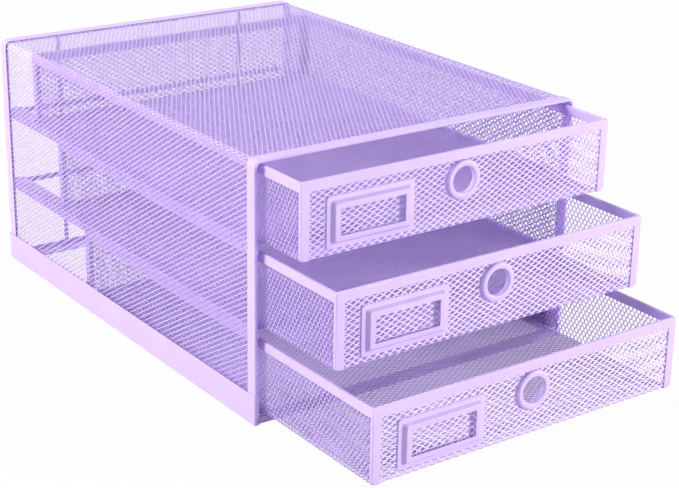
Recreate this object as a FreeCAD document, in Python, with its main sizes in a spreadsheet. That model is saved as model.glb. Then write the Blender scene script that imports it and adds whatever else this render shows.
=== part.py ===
import FreeCAD, Part
import math
import os
import Sketcher
from FreeCAD import Placement, Rotation, Vector

# Desktop mini drawers: an open-backed case of folded steel mesh that holds three sliding mesh drawers.
# Millimetres. X runs to the right, Y from the front to the back and Z up.
# The origin is the middle of the front base bar's underside, on the desk.

SIZES = {
    # Case: mesh sheet folded over the sides and top, gripped by a channel at the front and the back
    "case_width": 255.0,
    "case_depth": 350.0,
    "case_height": 173.5,
    "case_corner_radius": 5.0,
    "case_channel_width": 2.2,
    "case_channel_depth": 8.5,
    "sheet_wall": 0.7,
    "mesh_wall": 0.6,
    "grip_gap": 0.1,
    "slot_end_gap": 0.3,
    # Base: a band along each side and a bar at the front and the back
    "band_height": 20.0,
    "band_wall": 0.8,
    "band_end_face": 3.4,
    "bar_depth": 12.0,
    "bar_height": 5.0,
    # Rails: an angle at each side for every drawer, with its ledge under the drawer's edge
    "rail_width": 11.0,
    "rail_wall": 1.0,
    "rail_drop": 6.0,
    "rail_front_inset": 0.6,
    "top_ledge_height": 120.1,
    "middle_ledge_height": 64.2,
    "bottom_ledge_height": 6.3,
    # Back: flat bars across and upright
    "cross_bar_height": 4.0,
    "cross_bar_wall": 1.4,
    "stiffener_width": 3.2,
    "stiffener_wall": 1.4,
    "stiffener_offset": 81.0,
    # Drawers: mesh trays with a folded rim, angle strips at the back and a frame at the front
    "drawer_width": 242.5,
    "drawer_height": 49.3,
    "drawer_length": 350.5,
    "running_gap": 0.3,
    "rim_width": 2.2,
    "rim_height": 6.3,
    "rim_edge_radius": 0.6,
    "front_post_width": 6.2,
    "front_bar_height": 6.2,
    "front_top_radius": 1.2,
    "front_foot_radius": 3.0,
    "corner_leg": 6.2,
    "corner_radius": 1.0,
    # How far each drawer stands open, from the front of the case to the front of the drawer
    "top_drawer_opening": 39.8,
    "middle_drawer_opening": 76.3,
    "bottom_drawer_opening": 113.8,
    # Label holder: a stamped frame with a raised rim round its window
    "label_width": 65.0,
    "label_height": 33.0,
    "label_corner_radius": 2.5,
    "label_offset": 70.2,
    "label_centre_height": 21.0,
    "label_wall": 0.8,
    "label_rise": 2.4,
    "label_flange": 3.4,
    "label_raised_radius": 1.5,
    "label_window_width": 48.4,
    "label_window_height": 17.2,
    # Finger ring: a flanged ring in a round hole of the front mesh
    "ring_outer_radius": 13.0,
    "ring_inner_radius": 8.75,
    "ring_neck_radius": 9.6,
    "ring_back_radius": 11.4,
    "ring_rise": 2.2,
    "ring_back_wall": 0.7,
    "ring_outer_round": 1.7,
    "ring_inner_round": 1.1,
    "ring_centre_height": 29.8,
    # Mesh gaps: the long and the short way of a diamond, coarser than the fine mesh of the real sheet
    "wide_gap_long": 31.0,
    "wide_gap_short": 19.5,
    "wall_gap_long": 13.0,
    "wall_gap_short": 8.2,
    "mesh_border": 1.6,
}
# The share of its own diamond that each gap opens, which gives the panels the weight of real mesh
GAP_OPEN_SHARE = 0.7

DRAWERS = ("top", "middle", "bottom")
SIDES = {"left": -1, "right": 1}

doc = FreeCAD.newDocument("desktop_mini_drawers")


def make_sheet():
    """Writes the driving dimensions to a spreadsheet, one alias for each."""
    made = doc.addObject("Spreadsheet::Sheet", "Sizes")
    for row, (name, value) in enumerate(SIZES.items(), start=1):
        made.set(f"A{row}", name.replace("_", " "))
        made.set(f"B{row}", str(value))
        made.setAlias(f"B{row}", name)
    doc.recompute()
    return made


sheet = make_sheet()


class Size:
    """A length together with the sheet expression that gives it, so that sums stay bound to the cells."""

    def __init__(self, value, text):
        self.value = value
        self.text = text

    def joined(self, sign, other, value):
        words = other.text if isinstance(other, Size) else repr(other)
        return Size(value, f"({self.text} {sign} {words})")

    def __add__(self, other):
        return self.joined("+", other, self.value + amount(other))

    def __sub__(self, other):
        return self.joined("-", other, self.value - amount(other))

    def __mul__(self, other):
        return self.joined("*", other, self.value * amount(other))

    def __truediv__(self, other):
        return self.joined("/", other, self.value / amount(other))

    def __neg__(self):
        return self * -1


def amount(item):
    return item.value if isinstance(item, Size) else item


# The height of the desk, and of a drawer's underside in the drawer's own frame
ground = Size(0.0, "0")


def size(name):
    return Size(float(sheet.get(name)), f"Sizes.{name}")


def bind(item, **sizes):
    """Binds properties to sheet expressions; a double underscore stands for a dot in the path."""
    for path, value in sizes.items():
        if isinstance(value, Size):
            item.setExpression(path.replace("__", "."), value.text)


def place(item, x=0, y=0, z=0):
    bind(item, Placement__Base__x=x, Placement__Base__y=y, Placement__Base__z=z)


case_width = size("case_width")
case_depth = size("case_depth")
case_height = size("case_height")
case_corner_radius = size("case_corner_radius")
case_channel_width = size("case_channel_width")
case_channel_depth = size("case_channel_depth")
sheet_wall = size("sheet_wall")
mesh_wall = size("mesh_wall")
grip_gap = size("grip_gap")
slot_end_gap = size("slot_end_gap")
band_height = size("band_height")
band_wall = size("band_wall")
band_end_face = size("band_end_face")
bar_depth = size("bar_depth")
bar_height = size("bar_height")
rail_width = size("rail_width")
rail_wall = size("rail_wall")
rail_drop = size("rail_drop")
rail_front_inset = size("rail_front_inset")
cross_bar_height = size("cross_bar_height")
cross_bar_wall = size("cross_bar_wall")
stiffener_width = size("stiffener_width")
stiffener_wall = size("stiffener_wall")
stiffener_offset = size("stiffener_offset")
drawer_width = size("drawer_width")
drawer_height = size("drawer_height")
drawer_length = size("drawer_length")
running_gap = size("running_gap")
rim_width = size("rim_width")
rim_height = size("rim_height")
rim_edge_radius = size("rim_edge_radius")
front_post_width = size("front_post_width")
front_bar_height = size("front_bar_height")
front_top_radius = size("front_top_radius")
front_foot_radius = size("front_foot_radius")
corner_leg = size("corner_leg")
corner_radius = size("corner_radius")
label_width = size("label_width")
label_height = size("label_height")
label_corner_radius = size("label_corner_radius")
label_offset = size("label_offset")
label_centre_height = size("label_centre_height")
label_wall = size("label_wall")
label_rise = size("label_rise")
label_flange = size("label_flange")
label_raised_radius = size("label_raised_radius")
label_window_width = size("label_window_width")
label_window_height = size("label_window_height")
ring_outer_radius = size("ring_outer_radius")
ring_inner_radius = size("ring_inner_radius")
ring_neck_radius = size("ring_neck_radius")
ring_back_radius = size("ring_back_radius")
ring_rise = size("ring_rise")
ring_back_wall = size("ring_back_wall")
ring_outer_round = size("ring_outer_round")
ring_inner_round = size("ring_inner_round")
ring_centre_height = size("ring_centre_height")
wide_gap_long = size("wide_gap_long")
wide_gap_short = size("wide_gap_short")
wall_gap_long = size("wall_gap_long")
wall_gap_short = size("wall_gap_short")
mesh_border = size("mesh_border")

# Planes of the case
case_half = case_width / 2
case_inside = case_half - case_channel_width
case_front = -bar_depth / 2
case_back = case_front + case_depth
mesh_inset = sheet_wall + grip_gap
base_inside = case_inside - rail_wall
stiffener_back = case_back - band_wall
stiffener_front = stiffener_back - stiffener_wall

# Planes of a drawer, in its own frame: the origin is the middle of its front face's lower edge
drawer_half = drawer_width / 2
front_depth = rim_width
front_mesh_back = mesh_inset + mesh_wall
rim_foot = drawer_height - rim_height
rim_inside = drawer_half - rim_width
mesh_top = drawer_height - mesh_inset
wall_mesh_inside = drawer_half - mesh_inset - mesh_wall
back_mesh_front = drawer_length - mesh_inset - mesh_wall

nodes = []


def node(item, label):
    """Gives a sub-part its name and puts it on the list of pieces to be written."""
    item.Label = label
    nodes.append(item)
    return item


def new_body(label):
    return doc.addObject("PartDesign::Body", f"{label}_body")


def new_sketch(body, role, name, offset=None):
    """Adds a sketch on one of the body's own origin planes, moved along the plane's normal by offset."""
    made = body.newObject("Sketcher::SketchObject", name)
    plane = next(item for item in body.Origin.OriginFeatures if item.Role == role)
    made.AttachmentSupport = [(plane, "")]
    made.MapMode = "FlatFace"
    if offset is not None:
        made.setExpression("AttachmentOffset.Base.z", offset.text)
    return made


def constrain(sketch, kind, *where, to=None):
    """Adds a constraint and binds its value to the sheet when it has one."""
    if to is None:
        sketch.addConstraint(Sketcher.Constraint(kind, *where))
        return
    index = sketch.addConstraint(Sketcher.Constraint(kind, *where, amount(to)))
    if isinstance(to, Size):
        sketch.setExpression(f"Constraints[{index}]", to.text)


def direction(start, end):
    return (end - start).normalize()


def outline(sketch, corners):
    """Draws a closed outline with sides along the sketch's axes.

    Each corner is (x, y) or (x, y, radius); a corner with a radius is an arc tangent to its sides.
    """
    count = len(corners)
    spots = [Vector(amount(corner[0]), amount(corner[1]), 0) for corner in corners]
    radii = [corner[2] if len(corner) > 2 else None for corner in corners]
    ways = [direction(spots[i], spots[(i + 1) % count]) for i in range(count)]
    lines = []
    for i in range(count):
        following = (i + 1) % count
        start = spots[i] + ways[i] * (amount(radii[i]) if radii[i] else 0)
        end = spots[following] - ways[i] * (amount(radii[following]) if radii[following] else 0)
        lines.append(sketch.addGeometry(Part.LineSegment(start, end), False))
        if abs(ways[i].x) < abs(ways[i].y):
            constrain(sketch, "Vertical", lines[i])
            constrain(sketch, "DistanceX", lines[i], 1, to=corners[i][0])
        else:
            constrain(sketch, "Horizontal", lines[i])
            constrain(sketch, "DistanceY", lines[i], 1, to=corners[i][1])
    for i in range(count):
        if radii[i] is None:
            constrain(sketch, "Coincident", lines[i - 1], 2, lines[i], 1)
            continue
        radius = amount(radii[i])
        centre = spots[i] - ways[i - 1] * radius + ways[i] * radius
        turns_left = ways[i - 1].cross(ways[i]).z > 0
        first = -ways[i] if turns_left else ways[i - 1]
        begin = math.atan2(first.y, first.x)
        circle = Part.Circle(centre, Vector(0, 0, 1), radius)
        arc = sketch.addGeometry(Part.ArcOfCircle(circle, begin, begin + math.pi / 2), False)
        arriving, leaving = (1, 2) if turns_left else (2, 1)
        constrain(sketch, "Tangent", lines[i - 1], 2, arc, arriving)
        constrain(sketch, "Tangent", arc, leaving, lines[i], 1)
        constrain(sketch, "Radius", arc, to=radii[i])


def add_feature(body, kind, name, sketch, length, backwards):
    feature = body.newObject(kind, name)
    feature.Profile = sketch
    feature.setExpression("Length", length.text)
    feature.Reversed = backwards
    sketch.Visibility = False
    return feature


def pad(body, sketch, length, backwards=False):
    return add_feature(body, "PartDesign::Pad", f"{sketch.Name}_pad", sketch, length, backwards)


def pocket(body, sketch, length, backwards=False):
    return add_feature(body, "PartDesign::Pocket", f"{sketch.Name}_pocket", sketch, length, backwards)


def block(name, low, high):
    """A Part box between two corners, each given as (x, y, z)."""
    made = doc.addObject("Part::Box", name)
    place(made, *low)
    made.setExpression("Length", (high[0] - low[0]).text)
    made.setExpression("Width", (high[1] - low[1]).text)
    made.setExpression("Height", (high[2] - low[2]).text)
    return made


def fused(name, pieces):
    made = doc.addObject("Part::MultiFuse", name)
    made.Shapes = pieces
    made.Refine = True
    return made


def span(side, near, far):
    """The low and high X of something that lies between two distances from the middle, on one side."""
    return (near, far) if side > 0 else (-far, -near)


def arch(half, top, radius, inner_half, inner_top, inner_radius, foot):
    """The corners of an upside-down U with rounded shoulders, seen from the front."""
    return [
        (-half, foot),
        (-half, top, radius),
        (half, top, radius),
        (half, foot),
        (inner_half, foot),
        (inner_half, inner_top, inner_radius),
        (-inner_half, inner_top, inner_radius),
        (-inner_half, foot),
    ]


def case_frame(label, y, slot_starts):
    """A folded channel in the shape of an arch, with a slot along it that grips the mesh sheet."""
    body = new_body(label)
    section = new_sketch(body, "XZ_Plane", f"{label}_section")
    width = case_channel_width
    outline(section, arch(case_half, case_height, case_corner_radius, case_inside,
                          case_height - width, case_corner_radius - width, band_wall))
    pad(body, section, case_channel_depth, backwards=True)
    slot = new_sketch(body, "XZ_Plane", f"{label}_slot", offset=-slot_starts)
    wall = sheet_wall
    outline(slot, arch(case_half - wall, case_height - wall, case_corner_radius - wall, case_inside + wall,
                       case_height - width + wall, case_corner_radius - width + wall, band_wall))
    pocket(body, slot, case_channel_depth - wall)
    place(body, y=y)
    return node(body, label)


def diamond(across, along, half_across, half_along):
    tips = [
        Vector(across - half_across, along, 0),
        Vector(across, along - half_along, 0),
        Vector(across + half_across, along, 0),
        Vector(across, along + half_along, 0),
    ]
    return Part.makePolygon(tips + tips[:1])


def net_solid(edge, low, high, gaps, hole=None, keep_out=None):
    """One flat sheet with staggered diamond gaps between two corners.

    edge is the sheet's outline, gaps the size of one diamond each way, and hole a round hole
    (across, along, radius) with solid sheet round it out to the radius keep_out.
    """
    steps = [max(1, int((high[axis] - low[axis]) / amount(gaps[axis]))) for axis in (0, 1)]
    half_pitch = [(high[axis] - low[axis]) / (2 * steps[axis]) for axis in (0, 1)]
    half_gap = [half_pitch[axis] * GAP_OPEN_SHARE for axis in (0, 1)]
    wires = [Part.makePolygon([Vector(x, y, 0) for x, y in edge + edge[:1]])]
    centre = Part.Vertex(hole[0], hole[1], 0) if hole else None
    for i in range(1, 2 * steps[0]):
        for j in range(1 + (i + 1) % 2, 2 * steps[1], 2):
            gap = diamond(low[0] + i * half_pitch[0], low[1] + j * half_pitch[1], half_gap[0], half_gap[1])
            if centre is None or gap.distToShape(centre)[0] > keep_out:
                wires.append(gap)
    if hole:
        circle = Part.Circle(Vector(hole[0], hole[1], 0), Vector(0, 0, 1), hole[2])
        wires.append(Part.Wire(circle.toShape()))
    face = Part.makeFace(wires, "Part::FaceMakerBullseye")
    return face.extrude(Vector(0, 0, mesh_wall.value))


# How a sheet drawn across X and along Y is turned: left lying, across X and up, or across Y and up
LYING = Rotation()
FACING_FRONT = Rotation(Vector(1, 0, 0), 90)
FACING_SIDE = Rotation(Vector(1, 1, 1), 120)


def net(label, solid, turn, x, y, z):
    made = doc.addObject("Part::Feature", f"{label}_net")
    made.Shape = solid.copy()
    made.Placement = Placement(Vector(amount(x), amount(y), amount(z)), turn)
    place(made, x, y, z)
    return node(made, label)


def case_nets():
    """The flat stretches of the mesh sheet: both sides and the top, with the gaps' long way along Y."""
    y = case_front + sheet_wall + slot_end_gap
    length = (case_depth - (sheet_wall + slot_end_gap) * 2).value
    grip = (case_channel_depth - sheet_wall - slot_end_gap).value + mesh_border.value
    side_height = (case_height - case_corner_radius - band_wall).value
    side_edge = [(0, 0), (length, 0), (length, side_height), (0, side_height)]
    low = (grip, (band_height - band_wall).value)
    high = (length - grip, side_height)
    sheet_side = net_solid(side_edge, low, high, (wide_gap_long, wide_gap_short))
    outer = case_half - mesh_inset
    net("case_mesh_left", sheet_side, FACING_SIDE, -outer, y, band_wall)
    net("case_mesh_right", sheet_side, FACING_SIDE, outer - mesh_wall, y, band_wall)
    top_width = ((case_half - case_corner_radius) * 2).value
    top_edge = [(0, 0), (top_width, 0), (top_width, length), (0, length)]
    sheet_top = net_solid(top_edge, (0, grip), (top_width, length - grip), (wide_gap_short, wide_gap_long))
    top = case_height - mesh_inset - mesh_wall
    net("case_mesh_top", sheet_top, LYING, -(case_half - case_corner_radius), y, top)


def case_fold(label, side):
    """The quarter-round fold where the mesh sheet turns from a side over to the top."""
    outer_radius = case_corner_radius - mesh_inset
    rounds = []
    for part_name, radius in (("outer", outer_radius), ("inner", outer_radius - mesh_wall)):
        made = doc.addObject("Part::Cylinder", f"{label}_{part_name}")
        made.Angle = 90
        made.setExpression("Radius", radius.text)
        made.setExpression("Height", (case_depth - (sheet_wall + slot_end_gap) * 2).text)
        rounds.append(made)
    fold = doc.addObject("Part::Cut", f"{label}_cut")
    fold.Base, fold.Tool = rounds
    turn = Rotation(Vector(1, 0, 0), 90)
    if side < 0:
        turn = Rotation(Vector(0, 1, 0), -90).multiply(turn)
    fold.Placement = Placement(Vector(), turn)
    place(fold, (case_half - case_corner_radius) * side, case_back - sheet_wall - slot_end_gap,
          case_height - case_corner_radius)
    return node(fold, label)


def base_band(label, side):
    """The tall band along the foot of one side: an angle whose ends close over the posts."""
    outer = case_half + band_wall
    wall = span(side, case_half, outer)
    floor = span(side, base_inside, outer)
    face = span(side, outer - band_end_face, outer)
    ends = {"front": case_front - band_wall, "back": case_back}
    pieces = [
        block(f"{label}_wall", (wall[0], case_front, ground), (wall[1], case_back, band_height)),
        block(f"{label}_floor", (floor[0], case_front, ground), (floor[1], case_back, band_wall)),
    ]
    for name, y in ends.items():
        pieces.append(block(f"{label}_{name}", (face[0], y, ground), (face[1], y + band_wall, band_height)))
    return node(fused(f"{label}_joined", pieces), label)


def base_bar(label, y_outer, inwards):
    """An angle between the bands: a leg that lies on the desk and a low upright face on the outside."""
    body = new_body(label)
    section = new_sketch(body, "YZ_Plane", f"{label}_section", offset=-base_inside)
    outline(section, [
        (y_outer, ground),
        (y_outer + bar_depth * inwards, ground),
        (y_outer + bar_depth * inwards, band_wall),
        (y_outer + band_wall * inwards, band_wall),
        (y_outer + band_wall * inwards, bar_height),
        (y_outer, bar_height),
    ])
    pad(body, section, base_inside * 2)
    return node(body, label)


def rail(label, side, ledge, foot):
    """A rail for one side of a drawer: an angle with its flange on the posts and its ledge inwards."""
    body = new_body(label)
    section = new_sketch(body, "XZ_Plane", f"{label}_section")
    outline(section, [
        (case_inside * side, foot),
        (case_inside * side, ledge),
        ((case_inside - rail_width) * side, ledge),
        ((case_inside - rail_width) * side, ledge - rail_wall),
        ((case_inside - rail_wall) * side, ledge - rail_wall),
        ((case_inside - rail_wall) * side, foot),
    ])
    pad(body, section, case_depth - rail_front_inset - band_wall, backwards=True)
    place(body, y=case_front + rail_front_inset)
    return node(body, label)


def cross_bar(label, ledge):
    top = ledge - rail_wall
    bar = block(f"{label}_box", (-base_inside, stiffener_front - cross_bar_wall, top - cross_bar_height),
                (base_inside, stiffener_front, top))
    return node(bar, label)


def stiffener(label, side):
    edges = span(side, stiffener_offset - stiffener_width / 2, stiffener_offset + stiffener_width / 2)
    bar = block(f"{label}_box", (edges[0], stiffener_front, band_wall),
                (edges[1], stiffener_back, case_height - case_channel_width))
    return node(bar, label)


def tray_sheets():
    """The flat panels of a drawer's mesh tray.

    The tray is one sheet, cut and folded up, so the gaps' long way runs across the floor and up the sides.
    """
    border = mesh_border.value
    wall_height = mesh_top.value
    clear_top = (rim_foot - mesh_border).value

    inside = (wall_mesh_inside * 2).value
    length = (back_mesh_front - front_mesh_back).value
    floor_edge = [(0, 0), (inside, 0), (inside, length), (0, length)]
    floor = net_solid(floor_edge, (border, border), (inside - border, length - border),
                      (wide_gap_long, wide_gap_short))

    side_length = (drawer_length - mesh_inset - front_mesh_back).value
    notch = (front_depth - front_mesh_back).value
    notch_height = (drawer_height - front_bar_height - grip_gap).value
    side_edge = [(0, 0), (side_length, 0), (side_length, wall_height), (notch, wall_height),
                 (notch, notch_height), (0, notch_height)]
    corner_cover = (corner_leg - mesh_inset).value + border
    side = net_solid(side_edge, (notch + border, border), (side_length - corner_cover, clear_top),
                     (wall_gap_short, wall_gap_long))

    shoulder = (wall_mesh_inside - rim_inside + grip_gap).value
    shoulder_height = (rim_foot - grip_gap).value
    back_edge = [(0, 0), (inside, 0), (inside, shoulder_height), (inside - shoulder, shoulder_height),
                 (inside - shoulder, wall_height), (shoulder, wall_height), (shoulder, shoulder_height),
                 (0, shoulder_height)]
    back = net_solid(back_edge, (corner_cover, border), (inside - corner_cover, clear_top),
                     (wall_gap_long, wall_gap_short))

    face_width = ((drawer_half - mesh_inset) * 2).value
    face_edge = [(0, 0), (face_width, 0), (face_width, wall_height), (0, wall_height)]
    post_cover = (front_post_width - mesh_inset).value + border
    face_top = (drawer_height - front_bar_height - mesh_border).value
    hole = (face_width / 2, ring_centre_height.value, (ring_neck_radius + grip_gap).value)
    face = net_solid(face_edge, (post_cover, border), (face_width - post_cover, face_top),
                     (wall_gap_long, wall_gap_short), hole, ring_outer_radius.value)
    return floor, side, back, face


def drawer_nets(prefix, sheets, y, z):
    """The five panels of one drawer's mesh tray, in their places."""
    floor, side, back, face = sheets
    net(f"{prefix}_mesh_bottom", floor, LYING, -wall_mesh_inside, y + front_mesh_back, z)
    net(f"{prefix}_mesh_left", side, FACING_SIDE, -(wall_mesh_inside + mesh_wall), y + front_mesh_back, z)
    net(f"{prefix}_mesh_right", side, FACING_SIDE, wall_mesh_inside, y + front_mesh_back, z)
    net(f"{prefix}_mesh_back", back, FACING_FRONT, -wall_mesh_inside, y + back_mesh_front + mesh_wall, z)
    net(f"{prefix}_mesh_front", face, FACING_FRONT, -(drawer_half - mesh_inset), y + front_mesh_back, z)


def rim_section(outer, inner):
    """A channel with its slot down, between an outer and an inner face that lie rim_width apart."""
    sign = 1 if outer.value > inner.value else -1
    wall = sheet_wall * sign
    return [
        (outer, rim_foot),
        (outer, drawer_height, rim_edge_radius),
        (inner, drawer_height, rim_edge_radius),
        (inner, rim_foot),
        (inner + wall, rim_foot),
        (inner + wall, drawer_height - sheet_wall),
        (outer - wall, drawer_height - sheet_wall),
        (outer - wall, rim_foot),
    ]


def side_rim(label, side, y, z):
    body = new_body(label)
    section = new_sketch(body, "XZ_Plane", f"{label}_section", offset=-front_depth)
    outline(section, rim_section(drawer_half * side, rim_inside * side))
    pad(body, section, drawer_length - front_depth, backwards=True)
    place(body, y=y, z=z)
    return node(body, label)


def back_rim(label, y, z):
    body = new_body(label)
    section = new_sketch(body, "YZ_Plane", f"{label}_section", offset=-rim_inside)
    outline(section, rim_section(drawer_length, drawer_length - rim_width))
    pad(body, section, rim_inside * 2)
    place(body, y=y, z=z)
    return node(body, label)


def back_corners(label, y, z):
    """The two angle strips that cover the tray's upright back edges below the rims."""
    strips = []
    for name, side in SIDES.items():
        body = new_body(f"{label}_{name}")
        section = new_sketch(body, "XY_Plane", f"{label}_{name}_section")
        outer = drawer_half * side
        outline(section, [
            (outer, drawer_length - corner_leg),
            (outer, drawer_length, corner_radius),
            (outer - corner_leg * side, drawer_length),
            (outer - corner_leg * side, drawer_length - sheet_wall),
            (outer - sheet_wall * side, drawer_length - sheet_wall, corner_radius - sheet_wall),
            (outer - sheet_wall * side, drawer_length - corner_leg),
        ])
        pad(body, section, rim_foot)
        strips.append(body)
    pair = doc.addObject("Part::Compound", f"{label}_pair")
    pair.Links = strips
    place(pair, y=y, z=z)
    return node(pair, label)


def front_frame(label, y, z):
    """The frame round a drawer's front: a channel along the top and an angle down each side."""
    body = new_body(label)
    section = new_sketch(body, "XZ_Plane", f"{label}_section")
    inner = drawer_half - front_post_width
    under = drawer_height - front_bar_height
    outline(section, [
        (-drawer_half, ground, front_foot_radius),
        (-drawer_half, drawer_height, front_top_radius),
        (drawer_half, drawer_height, front_top_radius),
        (drawer_half, ground, front_foot_radius),
        (inner, ground),
        (inner, under),
        (-inner, under),
        (-inner, ground),
    ])
    pad(body, section, front_depth, backwards=True)
    within = drawer_half - sheet_wall
    for name, back, height in (("behind", front_depth, under),
                               ("grip", front_depth - sheet_wall, drawer_height - sheet_wall)):
        cut = new_sketch(body, "XY_Plane", f"{label}_{name}")
        outline(cut, [(-within, sheet_wall), (within, sheet_wall), (within, back), (-within, back)])
        pocket(body, cut, height, backwards=True)
    place(body, y=y, z=z)
    return node(body, label)


def rectangle(half_width, half_height, radius=None):
    round_off = () if radius is None else (radius,)
    signs = ((-1, -1), (1, -1), (1, 1), (-1, 1))
    return [(half_width * i, half_height * j) + round_off for i, j in signs]


def label_holder(label, y, z):
    """A stamped frame on the front mesh, with a raised rim that a card slides behind."""
    body = new_body(label)
    flange = new_sketch(body, "XZ_Plane", f"{label}_flange")
    outline(flange, rectangle(label_width / 2, label_height / 2, label_corner_radius))
    pad(body, flange, label_wall)
    raised_half = (label_width / 2 - label_flange, label_height / 2 - label_flange)
    raised = new_sketch(body, "XZ_Plane", f"{label}_raised")
    outline(raised, rectangle(raised_half[0], raised_half[1], label_raised_radius))
    pad(body, raised, label_wall + label_rise)
    hollow = new_sketch(body, "XZ_Plane", f"{label}_hollow")
    outline(hollow, rectangle(raised_half[0] - label_wall, raised_half[1] - label_wall))
    pocket(body, hollow, label_rise, backwards=True)
    window = new_sketch(body, "XZ_Plane", f"{label}_window")
    outline(window, rectangle(label_window_width / 2, label_window_height / 2))
    pocket(body, window, label_wall + label_rise, backwards=True)
    place(body, -label_offset, y + mesh_inset, z + label_centre_height)
    return node(body, label)


def finger_ring(label, y, z):
    """A ring with a rounded front flange, a neck through the mesh and a thin flange behind it."""
    body = new_body(label)
    section = new_sketch(body, "XY_Plane", f"{label}_section")
    front = mesh_inset - ring_rise
    rear = front_mesh_back + ring_back_wall
    outline(section, [
        (ring_inner_radius, front, ring_inner_round),
        (ring_outer_radius, front, ring_outer_round),
        (ring_outer_radius, mesh_inset),
        (ring_neck_radius, mesh_inset),
        (ring_neck_radius, front_mesh_back),
        (ring_back_radius, front_mesh_back),
        (ring_back_radius, rear),
        (ring_inner_radius, rear),
    ])
    turned = body.newObject("PartDesign::Revolution", f"{label}_turned")
    turned.Profile = section
    turned.ReferenceAxis = (section, ["V_Axis"])
    turned.Angle = 360
    section.Visibility = False
    place(body, y=y, z=z + ring_centre_height)
    return node(body, label)


def case():
    case_frame("case_front_frame", case_front, sheet_wall)
    case_frame("case_back_frame", case_back - case_channel_depth, ground)
    case_nets()
    base_bar("base_front_bar", case_front, 1)
    base_bar("base_back_bar", case_back, -1)
    for name, side in SIDES.items():
        case_fold(f"case_mesh_fold_{name}", side)
        base_band(f"base_band_{name}", side)
        stiffener(f"back_stiffener_{name}", side)
        for level in DRAWERS:
            ledge = size(f"{level}_ledge_height")
            foot = band_wall if level == "bottom" else ledge - rail_drop
            rail(f"{level}_rail_{name}", side, ledge, foot)
    for level in DRAWERS[:2]:
        cross_bar(f"{level}_cross_bar", size(f"{level}_ledge_height"))


def drawer(level, sheets):
    prefix = f"{level}_drawer"
    y = case_front - size(f"{level}_drawer_opening")
    z = size(f"{level}_ledge_height") + running_gap
    drawer_nets(prefix, sheets, y, z)
    for name, side in SIDES.items():
        side_rim(f"{prefix}_rim_{name}", side, y, z)
    back_rim(f"{prefix}_rim_back", y, z)
    back_corners(f"{prefix}_back_corners", y, z)
    front_frame(f"{prefix}_front_frame", y, z)
    label_holder(f"{prefix}_label_holder", y, z)
    finger_ring(f"{prefix}_finger_ring", y, z)


def check_document():
    """Stops if any object failed or any sub-part has no sound shape."""
    for item in doc.Objects:
        if "Invalid" in item.State or "Error" in item.State:
            raise RuntimeError(f"{item.Name} failed: {item.State}")
    for item in nodes:
        if item.Shape.isNull() or not item.Shape.isValid():
            raise RuntimeError(f"{item.Label} has no valid shape")


def write_parts():
    os.makedirs("parts", exist_ok=True)
    for item in nodes:
        item.Shape.exportStep(f"parts/{item.Label}.step")
        box = item.Shape.BoundBox
        print(f"{item.Label}: {len(item.Shape.Solids)} solid, {item.Shape.Volume:.1f} mm3, "
              f"x {box.XMin:.1f} to {box.XMax:.1f}, y {box.YMin:.1f} to {box.YMax:.1f}, "
              f"z {box.ZMin:.1f} to {box.ZMax:.1f}")


case()
tray = tray_sheets()
for drawer_level in DRAWERS:
    drawer(drawer_level, tray)
doc.recompute()
check_document()
write_parts()
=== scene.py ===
import math

import bmesh
import bpy
from bpy.props import FloatProperty, FloatVectorProperty, IntProperty, PointerProperty
from mathutils import Matrix, Vector


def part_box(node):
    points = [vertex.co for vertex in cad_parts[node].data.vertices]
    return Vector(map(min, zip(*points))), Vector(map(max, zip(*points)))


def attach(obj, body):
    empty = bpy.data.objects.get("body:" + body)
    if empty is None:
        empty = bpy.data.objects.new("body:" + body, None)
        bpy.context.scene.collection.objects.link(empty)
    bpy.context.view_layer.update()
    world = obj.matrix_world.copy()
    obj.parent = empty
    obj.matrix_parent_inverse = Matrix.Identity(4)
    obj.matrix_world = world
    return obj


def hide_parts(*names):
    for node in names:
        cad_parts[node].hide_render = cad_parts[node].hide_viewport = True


bl_info = {
    "name": "Mesh Desk Drawers",
    "version": (1, 0, 0),
    "blender": (4, 5, 0),
    "location": "3D View > Sidebar > Mesh Drawers",
    "description": "Models a desktop case of expanded steel sheet with three sliding drawers",
    "category": "Object",
}

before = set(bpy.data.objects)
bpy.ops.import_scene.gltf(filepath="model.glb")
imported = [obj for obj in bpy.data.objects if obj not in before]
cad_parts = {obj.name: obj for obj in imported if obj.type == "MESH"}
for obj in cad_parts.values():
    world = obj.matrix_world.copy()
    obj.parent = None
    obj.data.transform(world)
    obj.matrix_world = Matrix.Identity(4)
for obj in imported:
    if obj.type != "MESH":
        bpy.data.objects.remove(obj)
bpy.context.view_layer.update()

MM = 0.001
X = Vector((1, 0, 0))
Y = Vector((0, 1, 0))
Z = Vector((0, 0, 1))
DRAWERS = ("top_drawer", "middle_drawer", "bottom_drawer")
SIDES = {"left": -1, "right": 1}
# What the record calls each finish
SHEET_SLOT, STRIP_SLOT, RAIL_SLOT, FITTING_SLOT = "mesh", "strips", "rails", "fittings"

# Distances in metres below which points count as one, lie in one plane, or are cut through
WELD = 0.001 * MM
LEVEL = 1e-6
CUT = 1e-7
# Angles in degrees: an edge that gets rounded, one that gets rounded on a piece with arcs,
# an edge that is shaded as sharp, and the label holder's pressed edges
SHARP = 40
VERY_SHARP = 60
SHADED_SHARP = 50
PRESSED = 25
# Corner radius of the label holder's outlines, from the outer one to the window, as a share of the outer one
LABEL_CORNERS = (1, 0.6, 0.5, 0.25)

# Paint: noise scales for cloudy colour, patches of gloss and orange peel; the band that holds most of a noise;
# how far the roughness goes below and above its setting
CLOUDS, PATCHES, RIPPLES = 28, 140, 900
NOISE_LOW, NOISE_HIGH = 0.3, 0.7
GLOSSIER, DULLER = 0.05, 0.07
PEEL_STRENGTH = 0.35

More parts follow.
